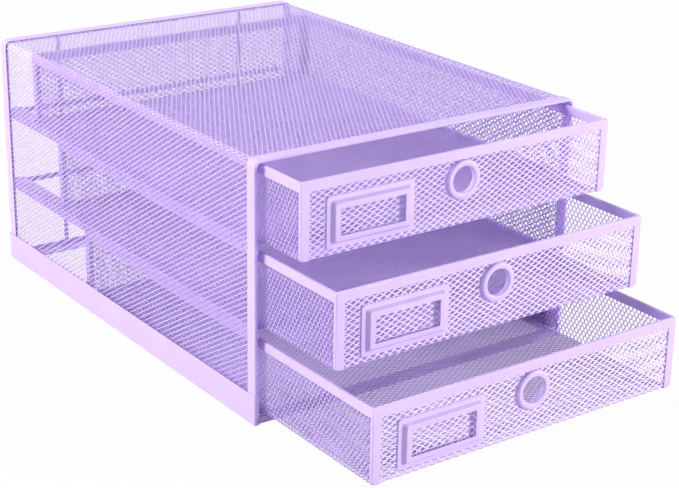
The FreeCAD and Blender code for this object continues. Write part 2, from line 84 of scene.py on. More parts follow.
# Place, target and size of each lamp in metres, by the name of its power in the settings
LAMPS = {
    "left_lamp": ((-1.65, 0.5, 0.8), (0, 0.1, 0.05), 0.9),
    "right_lamp": ((1.75, -0.5, 0.75), (0, 0, 0.05), 0.4),
    "back_lamp": ((0.1, 0.6, 1.6), (0, 0.1, 0.05), 0.8),
    "front_lamp": ((1.25, -1.6, 0.4), (0, 0.05, 0.05), 0.6),
    "fill_lamp": ((-1.3, -1.4, 0.7), (0, 0.1, 0.05), 1.0),
}
# The camera that was fitted to the photograph: degrees, metres, and millimetres for the film and the lens
CAMERA_YAW, CAMERA_PITCH, CAMERA_ROLL = 35.731, 20.740, 0.9204
CAMERA_SPOT = (-0.64355, -0.81051, 0.48367)
FILM_WIDTH, CAMERA_LENS = 36, 90.247
CAMERA_REACH = 50


def corners_of(node):
    """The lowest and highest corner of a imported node, in metres."""
    return tuple(Vector(corner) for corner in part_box(node))


def length(name, description, default):
    return FloatProperty(name=name, description=description, default=default, min=0, precision=5,
                         subtype="DISTANCE", unit="LENGTH")


def tint(name, description, default):
    return FloatVectorProperty(name=name, description=description, default=default, min=0, max=1, size=3,
                               subtype="COLOR")


def share(name, description, default):
    return FloatProperty(name=name, description=description, default=default, min=0, max=1, subtype="FACTOR")


def power(name, description, default):
    return FloatProperty(name=name, description=description, default=default, min=0, subtype="POWER",
                         unit="POWER")


def count(name, description, default, low):
    return IntProperty(name=name, description=description, default=default, min=low)


# Settings

class ExpandedSheetSizes(bpy.types.PropertyGroup):
    """The slit and stretched steel sheet of the case and the drawer trays."""
    case_long: length("Case diamond length", "Long way of a diamond with its strand, on the case", 6.05 * MM)
    case_short: length("Case diamond height", "Short way of a diamond with its strand, on the case", 3.6 * MM)
    tray_long: length("Tray diamond length", "Long way of a diamond with its strand, on a drawer", 6.2 * MM)
    tray_short: length("Tray diamond height",
                       "Short way of a diamond with its strand, on a drawer's floor and ends", 3.93 * MM)
    wall_short: length("Side wall diamond height",
                       "Short way of a diamond with its strand, on a drawer's sides", 3.66 * MM)
    strand: length("Strand", "Width of one strand", 0.72 * MM)
    thickness: length("Thickness", "Thickness of a strand", 0.3 * MM)
    lean: length("Lean", "How far the stretched strands lean out of the sheet's plane", 0.4 * MM)
    floor_lean: length("Floor lean", "How far the strands of a drawer's floor lean up and down", 0.56 * MM)
    depth: length("Depth", "From the frames' outer face to the middle of the sheet", 0.3 * MM)
    tray_fold: length("Tray fold", "Outer radius where a tray's floor turns up into a wall", 1.0 * MM)
    wrapper_fold: length("Wrapper fold", "Outer radius where the case's side turns over to the top", 4.2 * MM)
    fold_strip: length("Fold strip", "Width of floor that is made with each tray wall", 1.0 * MM)
    tray_steps: count("Tray steps", "Flat faces round a tray's fold", 2, 1)
    wrapper_steps: count("Wrapper steps", "Flat faces round the case's fold", 4, 1)
    slot_reach: length("Slot reach", "How far a tray's wall reaches into the rim's slot", 2.0 * MM)
    ring_margin: length("Ring margin", "Border under the finger ring where the sheet stays", 0.3 * MM)


class StripSizes(bpy.types.PropertyGroup):
    """The folded strips, channels and rails."""
    wall: length("Wall", "Sheet thickness of channels and strips", 0.7 * MM)
    band_wall: length("Band wall", "Sheet thickness of the base", 0.8 * MM)
    rail_wall: length("Rail wall", "Sheet thickness of the rails", 1.0 * MM)
    bend: length("Bend", "Outside radius of a folded edge", 0.8 * MM)
    edge: length("Edge", "Rounding that the paint gives a cut edge", 0.18 * MM)
    bar_edge: length("Bar edge", "Rounding of the flat bars' edges", 0.288 * MM)
    band_bend: length("Band bend", "Outside radius where a side band turns round the case", 1.12 * MM)
    band_return: length("Band return", "How far a side band turns round the case's front and back", 3.4 * MM)
    corner_bend: length("Corner bend", "Outside radius of the strips at a drawer's back corners", 1.0 * MM)
    channel_width: length("Channel width", "Width of the channels round the case's openings", 2.2 * MM)
    front_width: length("Front strip width", "Width of the strip round a drawer's front", 6.2 * MM)
    shoulder: length("Shoulder", "Radius of the upper corners of a drawer's front", 1.6 * MM)
    foot: length("Foot", "Radius of the lower corners of a drawer's front", 3.0 * MM)
    arch_corner: length("Arch corner", "Radius of the case's upper corners", 5.0 * MM)
    arch_steps: count("Arch steps", "Faces round each upper corner of the case", 10, 2)


class FittingSizes(bpy.types.PropertyGroup):
    """The stamped label holder and the finger ring."""
    label_corner: length("Label corner", "Radius of the label holder's corners", 2.5 * MM)
    label_flange: length("Label flange", "Flat border that lies on the mesh", 2.9 * MM)
    label_flank: length("Label flank", "Width of the sloping flank inside the flange", 1.8 * MM)
    label_wall: length("Label wall", "Sheet thickness of the label holder", 0.7 * MM)
    label_bend: length("Label bend", "Radius of the label holder's pressed edges", 0.5 * MM)
    label_edge: length("Label edge", "Rounding that the paint gives the label holder's cut edges", 0.15 * MM)
    window_width: length("Window width", "Width of the label window", 48.4 * MM)
    window_height: length("Window height", "Height of the label window", 17.2 * MM)
    ring_inner: length("Ring opening", "Radius of the finger hole", 8.75 * MM)
    ring_outer: length("Ring flange", "Radius of the ring's front flange", 13.0 * MM)
    ring_back: length("Ring back flange", "Radius of the flange behind the mesh", 11.4 * MM)
    ring_wall: length("Ring wall", "Thickness of the ring's tube", 0.85 * MM)
    ring_mouth: length("Ring mouth", "Rounding of the finger hole's front edge", 1.1 * MM)
    ring_round: length("Ring rounding", "Rounding of the front flange's outer edge", 1.8 * MM)
    ring_edge: length("Ring edge", "Rounding of the back flange's outer edge", 0.3 * MM)
    ring_steps: count("Ring steps", "Faces round the finger ring", 72, 8)


class PaintLook(bpy.types.PropertyGroup):
    """The satin powder coat."""
    colour: tint("Colour", "Colour of the powder coat", (0.63, 0.49, 0.88))
    deep: tint("Deep colour", "Colour where the coat lies thicker", (0.60, 0.455, 0.865))
    roughness: share("Roughness", "Roughness of the coat", 0.46)
    peel: length("Orange peel", "Height of the fine ripple in the coat", 0.012 * MM)


class StageLook(bpy.types.PropertyGroup):
    """The floor, the lamps and the camera."""
    floor_size: length("Floor size", "Side of the floor", 8.0)
    floor_colour: tint("Floor colour", "Colour of the floor", (0.6, 0.6, 0.6))
    floor_glow: share("Floor glow", "How much of the floor's white is seen without its shadows", 0.97)
    surround: FloatProperty(name="Surround", description="Strength of the light from all round", default=0.03,
                            min=0)
    left_lamp: power("Left lamp", "Power of the lamp on the left", 35.0)
    right_lamp: power("Right lamp", "Power of the lamp on the right", 10.0)
    back_lamp: power("Back lamp", "Power of the lamp above and behind", 16.0)
    front_lamp: power("Front lamp", "Power of the lamp at the right of the front", 42.0)
    fill_lamp: power("Fill lamp", "Power of the lamp at the left of the front", 7.0)


# Materials

def noise(nodes, links, place, scale, detail):
    """The value of a noise that lies in the object's own space."""
    made = nodes.new("ShaderNodeTexNoise")
    made.inputs["Scale"].default_value = scale
    made.inputs["Detail"].default_value = detail
    links.new(place.outputs["Object"], made.inputs["Vector"])
    return made.outputs["Fac"]


def powder_coat(name, look, scale):
    """Satin paint with cloudy colour, uneven gloss and an orange-peel ripple, all in the object's own space."""
    paint = bpy.data.materials.new(name)
    paint.use_nodes = True
    nodes, links = paint.node_tree.nodes, paint.node_tree.links
    shader = nodes["Principled BSDF"]
    shader.inputs["IOR"].default_value = 1.5
    shader.inputs["Specular IOR Level"].default_value = 0.4
    place = nodes.new("ShaderNodeTexCoord")

    colours = nodes.new("ShaderNodeValToRGB")
    for element, position, colour in zip(colours.color_ramp.elements, (NOISE_LOW, NOISE_HIGH),
                                         (look.deep, look.colour)):
        element.position = position
        element.color = (*colour, 1)
    links.new(noise(nodes, links, place, CLOUDS * scale, 3), colours.inputs["Fac"])
    links.new(colours.outputs["Color"], shader.inputs["Base Color"])

    gloss = nodes.new("ShaderNodeMapRange")
    gloss.inputs["From Min"].default_value = NOISE_LOW
    gloss.inputs["From Max"].default_value = NOISE_HIGH
    gloss.inputs["To Min"].default_value = look.roughness - GLOSSIER
    gloss.inputs["To Max"].default_value = look.roughness + DULLER
    links.new(noise(nodes, links, place, PATCHES * scale, 2), gloss.inputs["Value"])
    links.new(gloss.outputs["Result"], shader.inputs["Roughness"])

    bump = nodes.new("ShaderNodeBump")
    bump.inputs["Strength"].default_value = PEEL_STRENGTH
    bump.inputs["Distance"].default_value = look.peel
    links.new(noise(nodes, links, place, RIPPLES * scale, 1), bump.inputs["Height"])
    links.new(bump.outputs["Normal"], shader.inputs["Normal"])
    return paint


def paint_for(slot):
    """The finish of one of the record's slots, made the first time it is asked for."""
    name, scale = {
        SHEET_SLOT: ("powder coat on expanded sheet", 1.5),
        STRIP_SLOT: ("powder coat on folded strip", 1.0),
        RAIL_SLOT: ("powder coat on rail", 0.8),
        FITTING_SLOT: ("powder coat on stamping", 1.25),
    }[slot]
    return bpy.data.materials.get(name) or powder_coat(name, bpy.context.scene.drawers_paint, scale)


# Modelling

def section(corners, rounds=None):
    """A flat face through a few corners; rounds gives some of them a radius, by their place in the list."""
    bm = bmesh.new()
    spots = [bm.verts.new(corner) for corner in corners]
    bm.faces.new(spots)
    for index, radius in (rounds or {}).items():
        bmesh.ops.bevel(bm, geom=[spots[index]], offset=radius, offset_type="OFFSET", segments=5, profile=0.5,
                        affect="VERTICES", material=-1)
    return bm


def everything(bm):
    return bm.verts[:] + bm.edges[:] + bm.faces[:]


def verts_in(made):
    """The vertices among what an operator hands back."""
    return [item for item in made if isinstance(item, bmesh.types.BMVert)]


def edges_in(made):
    """The edges among what an operator hands back."""
    return [item for item in made if isinstance(item, bmesh.types.BMEdge)]


def sharp_edges(bm, degrees=SHARP):
    """The edges where two faces meet at more than an angle."""
    return [edge for edge in bm.edges if edge.is_manifold and edge.calc_face_angle() > math.radians(degrees)]


def ease(bm, radius, degrees=SHARP):
    """Rounds the sharp edges as paint does."""
    bmesh.ops.bevel(bm, geom=sharp_edges(bm, degrees), offset=radius, offset_type="OFFSET", segments=2,
                    profile=0.5, affect="EDGES", material=-1, clamp_overlap=True)


def prism(corners, run, rounds=None, edge=None):
    """A strip with one section along a straight run."""
    bm = section(corners, rounds)
    # The first face stays where it is, so that the strip is closed at both ends
    made = bmesh.ops.extrude_face_region(bm, geom=bm.faces[:])["geom"]
    bmesh.ops.translate(bm, verts=verts_in(made), vec=run)
    bmesh.ops.recalc_face_normals(bm, faces=bm.faces)
    if edge:
        ease(bm, edge)
    return bm


def sweep(bm, moves):
    """Carries a flat section along runs and turns; a turn is (centre, axis, angle, steps)."""
    ends = bm.edges[:]
    for move in moves:
        if isinstance(move, Vector):
            made = bmesh.ops.extrude_edge_only(bm, edges=ends)["geom"]
            bmesh.ops.translate(bm, verts=verts_in(made), vec=move)
        else:
            centre, axis, angle, steps = move
            verts = list({vert for edge in ends for vert in edge.verts})
            made = bmesh.ops.spin(bm, geom=verts + ends, cent=centre, axis=axis, angle=angle, steps=steps,
                                  use_duplicate=False)["geom_last"]
        ends = edges_in(made)
    bmesh.ops.contextual_create(bm, geom=ends)
    bmesh.ops.remove_doubles(bm, verts=bm.verts, dist=WELD)
    bmesh.ops.recalc_face_normals(bm, faces=bm.faces)
    return bm


def joined(*parts):
    """One bmesh out of several."""
    whole = bmesh.new()
    for part in parts:
        carrier = bpy.data.meshes.new("carrier")
        part.to_mesh(carrier)
        part.free()
        whole.from_mesh(carrier)
        bpy.data.meshes.remove(carrier)
    return whole


def piece(name, bm, body, slot, replaced, weighted=True):
    """Makes the finished object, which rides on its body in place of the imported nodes."""
    mesh = bpy.data.meshes.new(name)
    bm.to_mesh(mesh)
    bm.free()
    mesh.shade_smooth()
    mesh.set_sharp_from_angle(angle=math.radians(SHADED_SHARP))
    mesh.materials.append(paint_for(slot))
    made = bpy.data.objects.new(name, mesh)
    bpy.context.scene.collection.objects.link(made)
    if weighted:
        made.modifiers.new("Even shading", "WEIGHTED_NORMAL").keep_sharp = True
    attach(made, body)
    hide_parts(*replaced)
    return made


# Expanded sheet

def trim(bm, spot, normal):
    """Cuts off what lies beyond a plane."""
    bmesh.ops.bisect_plane(bm, geom=everything(bm), dist=CUT, plane_co=spot, plane_no=normal, clear_outer=True)


def flat_net(low, high, pitch, sheet, lean):
    """Expanded sheet lying in the XY plane between two corners, with the size of a diamond along X and Y.

    A grid is turned by 45 degrees and stretched to diamonds, and each diamond is inset and opened. One
    diamond of the endless pattern always has its middle at the origin, so that neighbouring stretches match.
    The strands lean: along the short way, the far edge of each one is pressed down by the lean and its near
    edge stands up by as much.
    """
    bm = bmesh.new()
    cells = int((high.x - low.x) / pitch[0] + (high.y - low.y) / pitch[1]) + 6
    cells += 1 - cells % 2
    bmesh.ops.create_grid(bm, x_segments=cells, y_segments=cells, size=cells / 2)
    bmesh.ops.rotate(bm, verts=bm.verts, cent=(0, 0, 0), matrix=Matrix.Rotation(math.radians(45), 3, "Z"))
    stretch = (pitch[0] / math.sqrt(2), pitch[1] / math.sqrt(2), 1)
    bmesh.ops.scale(bm, verts=bm.verts, vec=stretch)
    middle = (low + high) / 2
    offset = Vector((round(middle.x / pitch[0]) * pitch[0], round(middle.y / pitch[1]) * pitch[1], 0))
    bmesh.ops.translate(bm, verts=bm.verts, vec=offset)
    outside = []
    for face in bm.faces:
        spot = face.calc_center_median()
        if not all(low[axis] - pitch[axis] < spot[axis] < high[axis] + pitch[axis] for axis in (0, 1)):
            outside.append(face)
    bmesh.ops.delete(bm, geom=outside, context="FACES")
    diamonds = bm.faces[:]
    bmesh.ops.inset_individual(bm, faces=diamonds, thickness=sheet.strand / 2, use_even_offset=True)
    short_way = 0 if pitch[0] < pitch[1] else 1
    near, far = [], []
    for face in diamonds:
        tips = sorted(face.verts, key=lambda vert: vert.co[short_way])
        near.append(tips[0])
        far.append(tips[-1])
    # The near tip of a gap is the far edge of the strand before it
    bmesh.ops.translate(bm, verts=near, vec=Z * -lean)
    bmesh.ops.translate(bm, verts=far, vec=Z * lean)
    bmesh.ops.delete(bm, geom=diamonds, context="FACES")
    for spot, normal in ((low, -X), (low, -Y), (high, X), (high, Y)):
        trim(bm, spot, normal)
    return bm


def fold_length(radius, steps):
    """Length of the flat steps round a fold."""
    return 2 * radius * math.sin(math.pi / 4 / steps) * steps


def fold(bm, hinge, axis, away, radius, steps):
    """Bends the sheet beyond a line by a right angle, round a radius, in short flat steps."""
    turn = math.pi / 2 / steps
    chord = 2 * radius * math.sin(turn / 2)
    for step in range(steps + 1):
        bmesh.ops.bisect_plane(bm, geom=everything(bm), dist=CUT, plane_co=hinge, plane_no=away)
        beyond = [vert for vert in bm.verts if (vert.co - hinge).dot(away) > LEVEL]
        angle = turn / 2 if step in (0, steps) else turn
        rotation = Matrix.Rotation(angle, 3, axis)
        bmesh.ops.rotate(bm, verts=beyond, cent=hinge, matrix=rotation)
        away = rotation @ away
        hinge = hinge + away * chord


def thicken(bm, sheet):
    """Gives the strands their thickness, half of it on each side."""
    bmesh.ops.solidify(bm, geom=bm.faces[:], thickness=sheet.thickness)
    return bm


class DRAWERS_OT_case_sheet(bpy.types.Operator):
    """Folds the expanded sheet over the sides and the top of the case"""
    bl_idname = "drawers.case_sheet"
    bl_label = "Case sheet"

    def execute(self, context):
        sheet = context.scene.drawers_sheet
        pitch = (sheet.case_short, sheet.case_long)
        low, high = corners_of("case_mesh_top")
        side_low, side_high = corners_of("case_mesh_left")
        # The fold is made round the middle of the sheet
        level = high.z - sheet.depth
        radius = sheet.wrapper_fold - sheet.depth
        steps = sheet.wrapper_steps
        reach = fold_length(radius, steps) + side_high.z - side_low.z
        bm = flat_net(low, high, pitch, sheet, sheet.lean)
        bmesh.ops.translate(bm, verts=bm.verts, vec=Z * (level + sheet.thickness / 2))
        piece("case_net_top", thicken(bm, sheet), "case", SHEET_SLOT, ["case_mesh_top"], weighted=False)
        for name, side in SIDES.items():
            start, end = sorted((high.x * side, (high.x + reach) * side))
            bm = flat_net(Vector((start, low.y, 0)), Vector((end, high.y, 0)), pitch, sheet, -sheet.lean)
            bmesh.ops.translate(bm, verts=bm.verts, vec=Z * (sheet.thickness / 2))
            fold(bm, Vector((high.x * side, 0, 0)), Y * side, X * side, radius, steps)
            bmesh.ops.translate(bm, verts=bm.verts, vec=Z * level)
            piece(f"case_net_{name}", thicken(bm, sheet), "case", SHEET_SLOT,
                  [f"case_mesh_{name}", f"case_mesh_fold_{name}"], weighted=False)
        return {"FINISHED"}


class DRAWERS_OT_trays(bpy.types.Operator):
    """Folds the expanded sheet of each drawer's tray"""
    bl_idname = "drawers.trays"
    bl_label = "Drawer trays"

    def stretch(self, low, high, middle, pitch, sheet, lean):
        """A flat stretch of the tray, with the outer face of the sheet below."""
        bm = flat_net(low - middle, high - middle, pitch, sheet, lean)
        bmesh.ops.translate(bm, verts=bm.verts, vec=middle + Z * (sheet.thickness / 2))
        return bm

    def wall(self, drawer, axis, side, middle, reach, sheet):
        """One wall with the fold at its foot; axis 0 stands for a side wall, 1 for the front or the back."""
        low, high = middle - reach, middle + reach
        radius = sheet.tray_fold - sheet.depth
        steps = sheet.tray_steps
        edge = (high[axis] if side > 0 else low[axis]) - radius * side
        # The sheet ends inside the rim's slot
        height = corners_of(f"{drawer}_rim_left")[0].z - corners_of(f"{drawer}_mesh_left")[0].z
        height += sheet.slot_reach - radius
        ends = sorted((edge - sheet.fold_strip * side, edge + (fold_length(radius, steps) + height) * side))
        low[axis], high[axis] = ends
        low[1 - axis] += sheet.tray_fold
        high[1 - axis] -= sheet.tray_fold
        pitch = (sheet.tray_long, sheet.wall_short if axis == 0 else sheet.tray_short)
        lean = sheet.lean * (side if axis == 0 else -side)
        bm = self.stretch(low, high, middle, pitch, sheet, lean)
        hinge = Vector((0, 0, 0))
        hinge[axis] = edge
        away = (X, Y)[axis] * side
        fold(bm, hinge, away.cross(Z), away, radius, steps)
        return bm

    def open_for_ring(self, bm, drawer, ground, sheet):
        """Takes out the strands that lie wholly under the ring's flange."""
        low, high = corners_of(f"{drawer}_finger_ring")
        centre = (low + high) / 2
        radius = (high.x - low.x) / 2 - sheet.ring_margin
        hidden = []
        for face in bm.faces:
            gaps = [math.hypot(vert.co.x - centre.x, vert.co.z + ground - centre.z) for vert in face.verts]
            if max(gaps) < radius:
                hidden.append(face)
        bmesh.ops.delete(bm, geom=hidden, context="FACES")

    def execute(self, context):
        sheet = context.scene.drawers_sheet
        inset = Vector((sheet.depth, sheet.depth, 0))
        for drawer in DRAWERS:
            low = corners_of(f"{drawer}_mesh_left")[0]
            low.y = corners_of(f"{drawer}_mesh_front")[0].y
            high = corners_of(f"{drawer}_mesh_right")[1]
            high.y = corners_of(f"{drawer}_mesh_back")[1].y
            ground = low.z
            low.z = high.z = 0
            middle = (low + high) / 2
            reach = (high - low) / 2 - inset
            strip = Vector((sheet.tray_fold, sheet.tray_fold, 0)) - inset
            strip += Vector((sheet.fold_strip, sheet.fold_strip, 0))
            floor = self.stretch(middle - reach + strip, middle + reach - strip, middle,
                                 (sheet.tray_long, sheet.tray_short), sheet, -sheet.floor_lean)
            # Lifts the floor until its leaning strands stand on the level of the tray's underside
            rise = sheet.floor_lean + sheet.thickness / 2 - sheet.depth
            bmesh.ops.translate(floor, verts=floor.verts, vec=Z * rise)
            walls = []
            for axis, side in ((0, -1), (0, 1), (1, -1), (1, 1)):
                bm = self.wall(drawer, axis, side, middle, reach, sheet)
                if (axis, side) == (1, -1):
                    self.open_for_ring(bm, drawer, ground, sheet)
                walls.append(thicken(bm, sheet))
            for name, bm, nodes in (("floor", thicken(floor, sheet), ["bottom"]),
                                    ("walls", joined(*walls), ["left", "right", "back", "front"])):
                bmesh.ops.translate(bm, verts=bm.verts, vec=Z * (ground + sheet.depth))
                piece(f"{drawer}_net_{name}", bm, drawer, SHEET_SLOT,
                      [f"{drawer}_mesh_{node}" for node in nodes], weighted=False)
        return {"FINISHED"}


class DRAWERS_OT_case_frames(bpy.types.Operator):
    """Folds the channels that grip the case's sheet at the front and the back"""
    bl_idname = "drawers.case_frames"
    bl_label = "Case frames"

    def execute(self, context):
        strips = context.scene.drawers_strips
        wall = strips.wall
        for name, inward in (("front", 1), ("back", -1)):
            low, high = corners_of(f"case_{name}_frame")
            width = strips.channel_width
            web, lip = (low.y, high.y) if inward > 0 else (high.y, low.y)
            outer = low.x
            bm = section([
                (outer, lip, low.z),
                (outer, web, low.z),
                (outer + width, web, low.z),
                (outer + width, lip, low.z),
                (outer + width - wall, lip, low.z),
                (outer + width - wall, web + wall * inward, low.z),
                (outer + wall, web + wall * inward, low.z),
                (outer + wall, lip, low.z),
            ], {1: strips.bend, 2: strips.bend})
            radius = strips.arch_corner
            rise = high.z - radius - low.z
            across = high.x - low.x - radius * 2
            sweep(bm, [
                Z * rise,
                (Vector((low.x + radius, 0, high.z - radius)), Y, math.pi / 2, strips.arch_steps),
                X * across,
                (Vector((high.x - radius, 0, high.z - radius)), Y, math.pi / 2, strips.arch_steps),
                Z * -rise,
            ])
            ease(bm, strips.edge, VERY_SHARP)
            piece(f"case_{name}_channel", bm, "case", STRIP_SLOT, [f"case_{name}_frame"])
        return {"FINISHED"}


class DRAWERS_OT_base(bpy.types.Operator):
    """Folds the side bands and the front and back bars of the base"""
    bl_idname = "drawers.base"
    bl_label = "Base"

    def execute(self, context):
        strips = context.scene.drawers_strips
        wall = strips.band_wall
        for name, side in SIDES.items():
            low, high = corners_of(f"base_band_{name}")
            outer = high.x if side > 0 else low.x
            inner = low.x if side > 0 else high.x
            face = outer - strips.band_return * side
            upright = prism([
                (face, low.y, low.z),
                (outer, low.y, low.z),
                (outer, high.y, low.z),
                (face, high.y, low.z),
                (face, high.y - wall, low.z),
                (outer - wall * side, high.y - wall, low.z),
                (outer - wall * side, low.y + wall, low.z),
                (face, low.y + wall, low.z),
            ], Z * (high.z - low.z), {1: strips.band_bend, 2: strips.band_bend}, strips.edge)
            floor = prism([
                (inner, low.y + wall, low.z),
                (outer - wall * side, low.y + wall, low.z),
                (outer - wall * side, high.y - wall, low.z),
                (inner, high.y - wall, low.z),
            ], Z * wall, None, strips.edge)
            piece(f"base_side_{name}", joined(upright, floor), "case", STRIP_SLOT, [f"base_band_{name}"])
        for name, inward in (("front", 1), ("back", -1)):
            low, high = corners_of(f"base_{name}_bar")
            face = low.y if inward > 0 else high.y
            end = high.y if inward > 0 else low.y
            bm = prism([
                (low.x, face, low.z),
                (low.x, end, low.z),
                (low.x, end, low.z + wall),
                (low.x, face + wall * inward, low.z + wall),
                (low.x, face + wall * inward, high.z),
                (low.x, face, high.z),
            ], X * (high.x - low.x), {0: strips.bend}, strips.edge)
            piece(f"base_{name}_angle", bm, "case", RAIL_SLOT, [f"base_{name}_bar"])
        return {"FINISHED"}


class DRAWERS_OT_rails(bpy.types.Operator):
    """Folds the drawer rails and cuts the bars across the open back"""
    bl_idname = "drawers.rails"
    bl_label = "Rails and back bars"

    def execute(self, context):
        strips = context.scene.drawers_strips
        wall = strips.rail_wall
        for level in ("top", "middle", "bottom"):
            for name, side in SIDES.items():
                low, high = corners_of(f"{level}_rail_{name}")
                outer = high.x if side > 0 else low.x
                inner = low.x if side > 0 else high.x
                bm = prism([
                    (outer, low.y, low.z),
                    (outer, low.y, high.z),
                    (inner, low.y, high.z),
                    (inner, low.y, high.z - wall),
                    (outer - wall * side, low.y, high.z - wall),
                    (outer - wall * side, low.y, low.z),
                ], Y * (high.y - low.y), {1: strips.bend}, strips.edge)
                piece(f"{level}_ledge_{name}", bm, "case", RAIL_SLOT, [f"{level}_rail_{name}"])
        bars = ("top_cross_bar", "middle_cross_bar", "back_stiffener_left", "back_stiffener_right")
        for node in bars:
            low, high = corners_of(node)
            bm = prism([(low.x, low.y, low.z), (high.x, low.y, low.z), (high.x, high.y, low.z),
                        (low.x, high.y, low.z)], Z * (high.z - low.z), None, strips.bar_edge)
            piece(f"{node}_flat", bm, "case", RAIL_SLOT, [node])
        return {"FINISHED"}


class DRAWERS_OT_rims(bpy.types.Operator):
    """Folds the rim and the back corner strips of each drawer"""
    bl_idname = "drawers.rims"
    bl_label = "Drawer rims"

    def channel(self, outer, inner, low, high, place, run, strips):
        """A channel with its slot down; place turns (across, up) into a point of its first section."""
        way = 1 if inner > outer else -1
        wall = strips.wall * way
        roof = high - strips.wall
        corners = ((outer, low), (outer, high), (inner, high), (inner, low), (inner - wall, low),
                   (inner - wall, roof), (outer + wall, roof), (outer + wall, low))
        return prism([place(*corner) for corner in corners], run, {1: strips.bend, 2: strips.bend}, strips.edge)

    def execute(self, context):
        strips = context.scene.drawers_strips
        wall = strips.wall
        for drawer in DRAWERS:
            parts = []
            for name, side in SIDES.items():
                low, high = corners_of(f"{drawer}_rim_{name}")
                outer, inner = (high.x, low.x) if side > 0 else (low.x, high.x)
                parts.append(self.channel(outer, inner, low.z, high.z, lambda a, z, y=low.y: (a, y, z),
                                          Y * (high.y - low.y), strips))
            low, high = corners_of(f"{drawer}_rim_back")
            parts.append(self.channel(high.y, low.y, low.z, high.z, lambda a, z, x=low.x: (x, a, z),
                                      X * (high.x - low.x), strips))
            piece(f"{drawer}_rim_strips", joined(*parts), drawer, STRIP_SLOT,
                  [f"{drawer}_rim_left", f"{drawer}_rim_right", f"{drawer}_rim_back"])
            low, high = corners_of(f"{drawer}_back_corners")
            leg = high.y - low.y
            corners = []
            for side in (-1, 1):
                outer = high.x if side > 0 else low.x
                corners.append(prism([
                    (outer, low.y, low.z),
                    (outer, high.y, low.z),
                    (outer - leg * side, high.y, low.z),
                    (outer - leg * side, high.y - wall, low.z),
                    (outer - wall * side, high.y - wall, low.z),
                    (outer - wall * side, low.y, low.z),
                ], Z * (high.z - low.z), {1: strips.corner_bend}, strips.edge))
            piece(f"{drawer}_corner_strips", joined(*corners), drawer, STRIP_SLOT, [f"{drawer}_back_corners"])
        return {"FINISHED"}


class DRAWERS_OT_fronts(bpy.types.Operator):
    """Folds the strip round the front of each drawer"""
    bl_idname = "drawers.fronts"
    bl_label = "Drawer fronts"

    def execute(self, context):
        strips = context.scene.drawers_strips
        wall = strips.wall
        width = strips.front_width
        for drawer in DRAWERS:
            low, high = corners_of(f"{drawer}_front_frame")
            y = low.y
            bm = section([
                (low.x, y, low.z),
                (low.x + width, y, low.z),
                (low.x + width, y, high.z - width),
                (high.x - width, y, high.z - width),
                (high.x - width, y, low.z),
                (high.x, y, low.z),
                (high.x, y, high.z),
                (low.x, y, high.z),
            ], {0: strips.foot, 5: strips.foot, 6: strips.shoulder, 7: strips.shoulder})
            # The outline's outer side is turned back to form the strip's sides and top
            outside = []
            for edge in bm.edges:
                middle = (edge.verts[0].co + edge.verts[1].co) / 2
                if abs(middle.x) > high.x - width + LEVEL or middle.z > high.z - width + LEVEL:
                    outside.append(edge)
            made = bmesh.ops.extrude_edge_only(bm, edges=outside)["geom"]
            bmesh.ops.translate(bm, verts=verts_in(made), vec=Y * (high.y - low.y))
            bmesh.ops.recalc_face_normals(bm, faces=bm.faces)
            plate = max(bm.faces, key=lambda face: face.calc_area())
            if plate.normal.y > 0:
                bmesh.ops.reverse_faces(bm, faces=bm.faces)
            bends = [edge for edge in sharp_edges(bm)
                     if all(abs(vert.co.y - y) < LEVEL for vert in edge.verts)]
            bmesh.ops.bevel(bm, geom=bends, offset=strips.bend, offset_type="OFFSET", segments=4, profile=0.5,
                            affect="EDGES", material=-1)
            bmesh.ops.solidify(bm, geom=bm.faces[:], thickness=wall)
            lip = prism([
                (low.x + wall, high.y - wall, high.z - width),
                (high.x - wall, high.y - wall, high.z - width),
                (high.x - wall, high.y - wall, high.z - wall),
                (low.x + wall, high.y - wall, high.z - wall),
            ], Y * wall, None, strips.edge)
            piece(f"{drawer}_front_strip", joined(bm, lip), drawer, STRIP_SLOT, [f"{drawer}_front_frame"])
        return {"FINISHED"}


